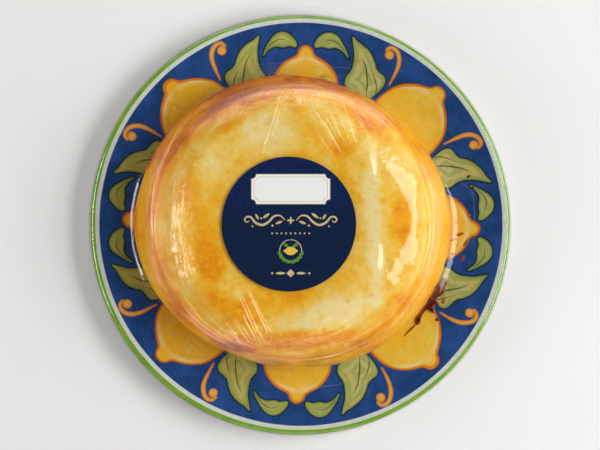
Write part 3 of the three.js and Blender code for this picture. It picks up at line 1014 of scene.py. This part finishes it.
def film_grid():
    """The film's smooth form, as rings from the middle of its top to its hem under the plate."""
    a = directions(FILM_AROUND)
    body = upper_body(a)
    rings = list((body + FILM_LIFT * normals_of(body))[::-1])
    size = LEAST_STAND_OFF
    for at, full, none, far in STAND_OFFS:
        size = size + far * smoothstep(math.radians(none), math.radians(full), abs(turned(a, at)))
    for out, up in smooth_line(FILM_TURN, 4):
        rings.append(ring(belly_radius(a) + FILM_LIFT + size * out, FILM_TURNS_AT + size * up, a, RICOTTA_CENTRE))
    start = rings[-1]
    lands_at = landing_radius(a)
    landing = ring(lands_at, plate_top(lands_at) + FILM_LIFT_ON_PLATE, a)
    for t in np.linspace(0, 1, SPAN_STEPS)[1:]:
        rings.append(start + (landing - start) * t)
    for t in np.linspace(0, 1, RIM_STEPS)[1:]:
        r = lands_at + (LIP_CENTRE - lands_at) * t**1.3
        rings.append(ring(r, plate_top(r) + FILM_LIFT_ON_PLATE, a))
    lip = LIP_RADIUS + FILM_LIFT_ON_PLATE
    for turn in np.linspace(math.pi / 2, -math.pi / 2, LIP_STEPS)[1:]:
        rings.append(ring(LIP_CENTRE + lip * math.cos(turn), PLATE_HEIGHT - LIP_RADIUS + lip * math.sin(turn), a))
    hem = FILM_END_RADIUS + HEM_WAVE * (np.sin(5 * a) + np.sin(8 * a + 1))
    for t in np.linspace(0, 1, HEM_STEPS)[1:]:
        r = LIP_CENTRE + (hem - LIP_CENTRE) * t
        rings.append(ring(r, plate_top(r) - THICKNESS - FILM_LIFT_ON_PLATE, a))
    return np.stack(rings)


def film_relief(grid, normal):
    """How far the film stands out from its smooth form."""
    flat = grid[..., :2]
    radius = norm(flat)
    angle = np.arctan2(flat[..., 1], flat[..., 0])
    level = grid * np.array([1, 1, 0])
    upper = smoothstep(5.5, 6.5, grid[..., 2]) * smoothstep(-0.2, 0.1, normal[..., 2])
    on_ricotta = smoothstep(10, 13, grid[..., 2])
    loose = smoothstep(22, 34, norm(flat - RICOTTA_CENTRE))
    relief = (0.04 + 0.13 * loose) * noise(level, 9, 51, 2) * on_ricotta
    for *place, height in SWELLS:
        relief += height * spot(grid, *place) * on_ricotta
    for points, height, width in CREASES:
        distance, along = line_distance(flat, smooth_line(points))
        beyond = smoothstep(0, 0.02, along) * smoothstep(1, 0.98, along)
        relief += height * bump(distance, width) * tapered(along, 0, 0.7) * beyond * on_ricotta
    contact = radius - landing_radius(angle) - 0.4 * noise(level, 9, 75)
    relief += 0.16 * bump(contact, 0.45) * smoothstep(-0.5, 0.3, noise(level, 25, 76)) * upper
    relief += 0.03 * noise(level, 6, 77) * smoothstep(57, 60, radius) * upper
    below = smoothstep(-0.4, -0.95, normal[..., 2])
    pleats = np.sin(46 * angle + 3 * noise(level, 18, 81)) ** 3
    relief += below * (0.06 + 0.4 * smoothstep(62, 47, radius)) * (0.5 + 0.5 * pleats)
    return np.maximum(relief, -0.3) * film_is_free(grid)


def film_is_free(grid):
    """0 where the sticker holds the film flat, and 1 elsewhere."""
    return smoothstep(STICKER_RADIUS, STICKER_RADIUS + 3, norm(sticker_place(grid)))


def make_film():
    grid = film_grid()[::-1]
    normal = normals_of(grid)
    above = smoothstep(8, 10, grid[..., 2]) * film_is_free(grid)
    values = {"crumpled": zones(grid, CRUMPLES) * above, "free": above, "painted_sheen": painted_sheen_streaks(grid) * above}
    grid = grid + normal * film_relief(grid, normal)[..., None]
    piece = grid_piece("shrink_film", grid, None, grid[-1].mean(axis=0), values)
    wear(piece, film_material(), "film")
    wear(make_folds(piece), piece.data.materials[0])


def fold_size(milk_and_glint=1.0):
    """A fold's half width, its height and how milky it is, which is whitening and painted glint."""
    return SPARKLE.uniform(*HALF_WIDTHS), SPARKLE.uniform(*HEIGHTS), milk_and_glint * SPARKLE.uniform(*MILK_AND_GLINT)


def fold_lines():
    """The paths of all the folds, seen from above, each with its half width, its height and its milk of whitening
    and painted glint.
    """
    for guide, first_spread, last_spread, count, shortest, longest, milk_and_glint in FOLD_BUNDLES:
        line = smooth_line(guide, 12)
        way = unit(np.gradient(line, axis=0))
        side = np.stack([-way[:, 1], way[:, 0]], axis=-1)
        spread = np.linspace(first_spread, last_spread, len(line))[:, None]
        for _ in range(count):
            share = SPARKLE.uniform(shortest, longest)
            first = SPARKLE.uniform(0, 1 - share)
            start, end = int(first * (len(line) - 1)), int(math.ceil((first + share) * (len(line) - 1)))
            drift = SPARKLE.uniform(-1, 1) + np.linspace(0, SPARKLE.normal(0, 0.12), len(line))[:, None]
            path = line + side * spread * drift
            yield path[start : max(end, start + 2) + 1], *fold_size(milk_and_glint)
    for x, y, reach_x, reach_y, count, direction, stray, length in CRUMPLES:
        for _ in range(count):
            middle = np.array([x, y]) + np.array([reach_x, reach_y]) * SPARKLE.normal(0, 0.6, 2)
            turn = math.radians(direction + SPARKLE.uniform(-stray, stray))
            half = 0.5 * length * SPARKLE.uniform(0.4, 1.2) * np.array([math.cos(turn), math.sin(turn)])
            bend = 0.2 * SPARKLE.normal(0, 1) * np.array([-half[1], half[0]])
            path = smooth_line([middle - half, middle + bend, middle + half], 4)
            yield path, *fold_size()
    for line, half_width, height, milk_and_glint in SINGLE_FOLDS:
        yield smooth_line(line, 12), half_width, height, milk_and_glint


def evenly(path):
    """Points along the path, about one fold step apart."""
    reached = np.concatenate([[0], np.cumsum(norm(np.diff(path, axis=0)))])
    places = np.linspace(0, reached[-1], max(4, round(reached[-1] / FOLD_STEP)))
    return np.stack([np.interp(places, reached, path[:, axis]) for axis in (0, 1)], axis=-1)


def make_folds(film):
    """The fine folds, as one mesh of narrow ridges that lie on the film."""
    points = read(film.data.vertices, "co", 3).tolist()
    tree = BVHTree.FromPolygons(points, [tuple(face.vertices) for face in film.data.polygons])
    across_count = len(FOLD_SECTION)
    vertices, faces, folded = [], [], []
    for path, half_width, height, milk_and_glint in fold_lines():
        hits = [tree.ray_cast((x * MM, y * MM, WELL_ABOVE), (0, 0, -1)) for x, y in evenly(path)]
        spots = np.array([hit[0] for hit in hits]) / MM
        normals = np.array([hit[1] for hit in hits])
        if norm(spots[:, :2] - STICKER_CENTRE).min() < STICKER_RADIUS + 1.0:
            continue
        across = unit(np.cross(normals, np.gradient(spots, axis=0)))
        taper = tapered(np.linspace(0.05, 0.95, len(spots)), 0, 0.6)[:, None]
        count = sum(map(len, vertices))
        rows = [spots + taper * (across * out * half_width + normals * up * height) for out, up, _ in FOLD_SECTION]
        vertices.append(np.stack(rows, axis=1).reshape(-1, 3))
        folded.append((milk_and_glint * taper * [share for *_, share in FOLD_SECTION]).ravel())
        index = count + np.arange(len(spots) * across_count).reshape(len(spots), across_count)
        quads = np.stack([index[:-1, :-1], index[1:, :-1], index[1:, 1:], index[:-1, 1:]], axis=-1)
        faces += quads.reshape(-1, 4)[:, ::-1].tolist()
    folds = new_piece("film_folds", np.concatenate(vertices), faces, {"folded": np.concatenate(folded)})
    folds.visible_shadow = False
    return folds


def film_material():
    s = Shader("clear_film")
    crumpled, painted_sheen = s.value("crumpled"), s.value("painted_sheen")
    crumples = s.times(s.ridge(s.noise(2.2, 2, 0.55, distortion=1.2), 0.08), crumpled)
    fine = s.bump(crumples, 0.2)
    fine = s.bump(s.times(s.noise(1.8, 1, distortion=0.8), crumpled), 0.22, 1, fine)
    fine = s.bump(s.times(s.noise(4.5, 2, 0.5), s.value("free")), 0.13, 1, fine)
    # What is behind the film shows through it in full, and a milky white adds to that: partly the whitening of its
    # folds and wrinkles, partly painted glints on the folds and a painted sheen of the studio's reflection. The
    # glints are tinted warm and the sheen cool.
    milk_and_glint = s.plus(s.plus(s.times(painted_sheen, 0.17), s.value("folded"), 0.42), crumples, 0.09)
    tint = s.mix(painted_sheen, (1, 0.87, 0.6), (0.78, 0.8, 0.95))
    milky = s.node("BsdfDiffuse", {"Color": s.mix(milk_and_glint, (0, 0, 0), tint)})
    clear = s.node("BsdfTransparent", {"Color": (0.985, 0.985, 0.98)})
    body = s.node("AddShader", {0: clear.outputs[0], 1: milky.outputs[0]})
    rough = s.plus(0.035, painted_sheen, 0.22)
    shine = s.node("BsdfAnisotropic", {"Color": (1, 1, 1), "Roughness": rough, "Normal": fine})
    slanting = s.node("LayerWeight", {"Blend": 0.5, "Normal": fine}).outputs["Facing"]
    share = s.plus(FILM_SHINE, s.math("POWER", slanting, 5), 0.6)
    return s.shown(s.node("MixShader", {0: share, 1: body.outputs[0], 2: shine.outputs[0]}))


# ---------------------------------------------------------------- the sticker

PRINT_AXIS = 0.6  # the print lies a little to the right on the paper
PANEL_HALF_LENGTH = 12.6
PANEL_HALF_WIDTH = 4.7
PANEL_HEIGHT = 11.3
PANEL_NOTCH = 1.5
# The gold scroll's right half: its line, its small leaves as (x, y, half length, half width, turn), its dots.
SCROLL = [(1.9, 0.1), (3.4, 1.5), (5.4, 1.3), (7.2, -0.5), (9.2, -1.5), (11.4, -0.7), (12.9, 1), (14.3, 1.1)]
SCROLL += [(14.9, 0.1), (14.1, -0.6), (13.4, -0.1)]
SCROLL_LEAVES = [(3.8, -0.7, 1.3, 0.42, -20), (7.9, 1.5, 1.5, 0.45, -35), (10.9, 1.2, 1.1, 0.38, 60)]
SCROLL_DOTS = [(5.9, -1.7, 0.36), (9.6, 0.7, 0.32), (12.4, -1.9, 0.3)]
SCROLL_HEIGHT = 1.2
STICKER_AROUND = 400
GOLD_LINE = 0.14  # half the width of a thin gold line
BEADS_HEIGHT = -3
BEADS_REACH = 7.2
BEAD_STEP = 1.5
BEAD_RADIUS = 0.3
EMBLEM_HEIGHT = -8.6
EMBLEM_RADIUS = 3.55
GARLAND = (-84, -62, -40, -18)  # its leaves' directions
ORNAMENT_HEIGHT = -15.9
LATTICE_CELL = 5.4


def sticker_place(grid):
    return grid[..., :2] - STICKER_CENTRE


def leaf_distance(x, y, length, width, degrees):
    """The distance to a pointed leaf round the origin, negative inside it."""
    along, across = rotated(x, y, -degrees)
    radius = (length**2 + width**2) / (2 * width)
    return np.hypot(along, abs(across) + radius - width) - radius


def gold_print(x, y):
    """The distance to the gold print, where x is counted from its axis."""
    right = abs(x)
    at = np.stack([right, y - SCROLL_HEIGHT], axis=-1)
    line, along = line_distance(at, smooth_line(SCROLL))
    gold = abs(line) - (GOLD_LINE + 0.24 * tapered(along))
    for cx, cy, length, width, turn in SCROLL_LEAVES:
        gold = np.minimum(gold, leaf_distance(right - cx, at[..., 1] - cy, length, width, turn))
    for cx, cy, size in SCROLL_DOTS:
        gold = np.minimum(gold, np.hypot(right - cx, at[..., 1] - cy) - size)
    petals = np.hypot(x, at[..., 1]) - 0.75 - 0.45 * np.cos(4 * np.arctan2(at[..., 1], x))
    beads = np.hypot((x + BEAD_STEP / 2) % BEAD_STEP - BEAD_STEP / 2, y - BEADS_HEIGHT) - BEAD_RADIUS
    beads = np.maximum(beads, right - BEADS_REACH)
    hoop = abs(np.hypot(x, y - EMBLEM_HEIGHT) - EMBLEM_RADIUS) - GOLD_LINE
    diamond = (right + abs(y - ORNAMENT_HEIGHT)) / 2**0.5 - 0.95
    tips = leaf_distance(right - 3.3, y - ORNAMENT_HEIGHT, 1.7, 0.42, 0)
    dots = np.hypot(right - 6.0, y - ORNAMENT_HEIGHT) - 0.38
    return np.min([gold, petals, beads, hoop, diamond, tips, dots], axis=0)


def emblem_leaves(x, y):
    """The distance to the emblem's green leaves: two on the lemon and a garland below it."""
    right = abs(x)
    leaves = leaf_distance(right - 1.5, y - 1.75, 1.25, 0.5, 35)
    for degrees in GARLAND:
        turn = math.radians(degrees)
        cx, cy = 3.6 * math.cos(turn), 3.6 * math.sin(turn)
        leaves = np.minimum(leaves, leaf_distance(right - cx, y - cy, 1.15, 0.5, degrees + 62))
    return leaves


def sticker_values(grid):
    """The print, as distances in millimetres that the sticker's material turns into ink."""
    place = sticker_place(grid)
    x, y = place[..., 0] - PRINT_AXIS, place[..., 1]
    panel_x, panel_y = abs(x) - PANEL_HALF_LENGTH, abs(y - PANEL_HEIGHT) - PANEL_HALF_WIDTH
    panel = np.maximum(np.maximum(panel_x, panel_y), PANEL_NOTCH - np.hypot(panel_x, panel_y))
    low = y - EMBLEM_HEIGHT
    fruit = np.minimum(np.hypot(x / 1.35, low + 0.1) - 1.35, np.hypot(abs(x) - 1.95, low + 0.1) - 0.4)
    half = LATTICE_CELL / 2
    row = np.floor(y / half)
    dx = (x + half * (row % 2) + half) % LATTICE_CELL - half
    dy = y % half - half / 2
    rosette = np.hypot(dx, dy) - (0.95 + 0.42 * np.cos(4 * np.arctan2(dy, dx)))
    hoop = abs(np.hypot(dx / 1.45, dy) - 1.62) - 0.16
    return {
        "panel": panel,
        "gold": gold_print(x, y),
        "fruit": fruit,
        "leaves": emblem_leaves(x, low),
        "lattice": np.minimum(rosette, hoop),
        "upper": smoothstep(1.0, 9.0, y),
    }


def sticker_grid():
    a = directions(STICKER_AROUND)
    levels = [(1.0, 0.0), (1.0, 0.35), (0.9985, 0.8), (0.995, 1.0)]
    shares = [(share, 0.0) for share in (0.4, 0.8, 0.97)] + levels
    shares += [(share, 1.0) for share in np.linspace(0.99, 0.02, 72)]
    rings = []
    for share, lift in shares:
        points = ring(STICKER_RADIUS * share, 0, a, STICKER_CENTRE)
        middle = norm(points[:, :2] - RICOTTA_CENTRE)
        crown = SHOULDER_HALF_LENGTH - SHOULDER_WIDTH
        base = top_height(middle / crown) + FILM_LIFT + STICKER_LIFT
        points[:, 2] = base + STICKER_THICKNESS * lift
        rings.append(points)
    return np.stack(rings)


def make_sticker():
    grid = sticker_grid()
    values = sticker_values(grid)
    curl = smoothstep(STICKER_RADIUS - 5, STICKER_RADIUS, norm(sticker_place(grid)))
    grid[..., 2] += 0.05 * curl * (1 + noise(grid, 14, 91)) + 0.03 * noise(grid, 9, 92)
    first, last = grid[0].mean(axis=0), grid[-1].mean(axis=0)
    wear(grid_piece("round_sticker", grid, first, last, values), sticker_material(), "sticker")


def sticker_material():
    s = Shader("printed_paper")
    fibre = s.noise(0.5, 3, 0.6)
    ink = s.over((0.0035, 0.0125, 0.045), (0.006, 0.018, 0.06), fibre, 0.3, 0.8)
    royal = s.times(s.step(s.value("lattice"), 0.1, -0.1, 0, 0.75), s.value("upper"))
    ink = s.mix(royal, ink, (0.003, 0.02, 0.14))
    gold = s.mix(s.noise(2.5, 2), (0.45, 0.32, 0.1), (0.72, 0.62, 0.36))
    for key, colour in (("gold", gold), ("leaves", (0.1, 0.26, 0.035)), ("fruit", (0.78, 0.5, 0.06))):
        ink = s.over(ink, colour, s.value(key), 0.05, -0.05)
    panel = s.value("panel")
    ink = s.over(ink, gold, panel, 0.26, 0.18)
    ink = s.over(ink, (0.88, 0.89, 0.86), panel, 0.04, -0.04)
    ink = s.over(ink, gold, s.math("ABSOLUTE", s.plus(panel, 0.75)), 0.14, 0.06, 0.8)
    return s.surface(
        Base_Color=ink,
        Roughness=s.step(fibre, 0.3, 0.7, 0.32, 0.4),
        Normal=s.bump(fibre, 0.02, 0.6),
        Specular_IOR_Level=0.15,
    )


# ---------------------------------------------------------------- light, floor and camera

# The camera looks straight down. Its height is in metres, its lens and sensor are in millimetres.
CAMERA_HEIGHT = 0.75 + PLATE_HEIGHT * MM
LENS = 135
SENSOR_WIDTH = 36
TARGET = Vector((0, 0, 0.015))  # what the lights point at
# The lights, as (name, degrees from straight up, azimuth, distance, size, power, if it lights and if it is
# reflected). The key is two lights, so that what the film reflects of it is set apart from what it gives.
LIGHTS = [
    ("key", 51, 1, 1, (0.78, 0.52), 3, True, False),
    ("key_seen", 51, 1, 0.98, (0.78, 0.52), 5.2, True, True),
    ("top", 0, 0, 1.3, (0.8, 0.8), 2.2, True, False),
    ("left", 72, 200, 1, (0.8, 0.5), 4, True, False),
    ("back", 72, 96, 1, (1, 0.6), 1.9, True, True),
    ("left_strip", 48, 182, 1, (0.6, 0.24), 3.6, False, True),
    ("front_strip", 64, -93, 1, (0.7, 0.3), 0.8, False, True),
    ("back_strip", 63, 110, 1, (0.7, 0.3), 0.8, False, True),
]
# The studio's walls as seen from the object: 0 is straight down, 0.5 the horizon and 1 straight up, and how bright
# they are there. Straight above is dark, so that the flat top and the rim show their own colours.
WALLS = [(0, 0.03), (0.46, 0.03), (0.52, 0.34), (0.75, 0.34), (0.85, 0.27), (0.9, 0.01), (1, 0)]
BRIGHT_SIDE = (0.4, 0, 0)  # towards the key, the walls are brighter
FLOOR_HALF = 3000


def from_above(angle, azimuth, distance):
    """A place at this angle from straight up and in the direction azimuth, both in degrees."""
    tilt, turn = math.radians(angle), math.radians(azimuth)
    flat = distance * math.sin(tilt)
    return flat * math.cos(turn), flat * math.sin(turn), distance * math.cos(tilt)


def make_lights():
    for name, angle, azimuth, distance, size, power, lighting, reflected in LIGHTS:
        data = bpy.data.lights.new(name, "AREA")
        data.shape = "RECTANGLE"
        data.size, data.size_y = size
        data.energy = power
        light = bpy.data.objects.new(name, data)
        light.visible_diffuse = lighting
        light.visible_glossy = reflected
        light.location = from_above(angle, azimuth, distance)
        light.rotation_euler = (TARGET - light.location).to_track_quat("-Z", "Y").to_euler()
        bpy.context.scene.collection.objects.link(light)


def make_world():
    s = Shader("studio", bpy.data.worlds)
    bpy.context.scene.world = s.owner
    place = s.node("TexCoord").outputs["Generated"]
    height = s.node("SeparateXYZ", {0: place}).outputs["Z"]
    colour = s.ramp(s.plus(0.5, height, 0.5), [(at, (grey, 0.96 * grey, 0.9 * grey)) for at, grey in WALLS])
    side = s.node("VectorMath", {0: place, 1: BRIGHT_SIDE}, operation="DOT_PRODUCT").outputs["Value"]
    walls = s.node("Background", {"Color": colour, "Strength": s.plus(side, 1.0)})
    s.node("OutputWorld", {"Surface": walls.outputs[0]})


def make_floor():
    corners = FLOOR_HALF * np.array([(-1, -1, 0), (1, -1, 0), (1, 1, 0), (-1, 1, 0)])
    floor = new_piece("floor", corners, [(0, 1, 2, 3)], {})
    s = Shader("pale_floor")
    colour = s.mix(s.noise(40, 2), (0.9, 0.9, 0.9), (0.93, 0.93, 0.93))
    floor.data.materials.append(s.surface(Base_Color=colour, Roughness=0.8, Specular_IOR_Level=0.1))
    floor.visible_glossy = False


def make_camera():
    data = bpy.data.cameras.new("camera")
    data.sensor_width = SENSOR_WIDTH
    data.lens = LENS
    camera = bpy.data.objects.new("camera", data)
    camera.location = (0, 0, CAMERA_HEIGHT)
    bpy.context.scene.collection.objects.link(camera)
    bpy.context.scene.camera = camera


make_camera()
make_lights()
make_world()
make_floor()
make_plate()
make_ricotta()
make_syrup()
make_film()
make_sticker()
bpy.context.scene.view_settings.view_transform = "Standard"
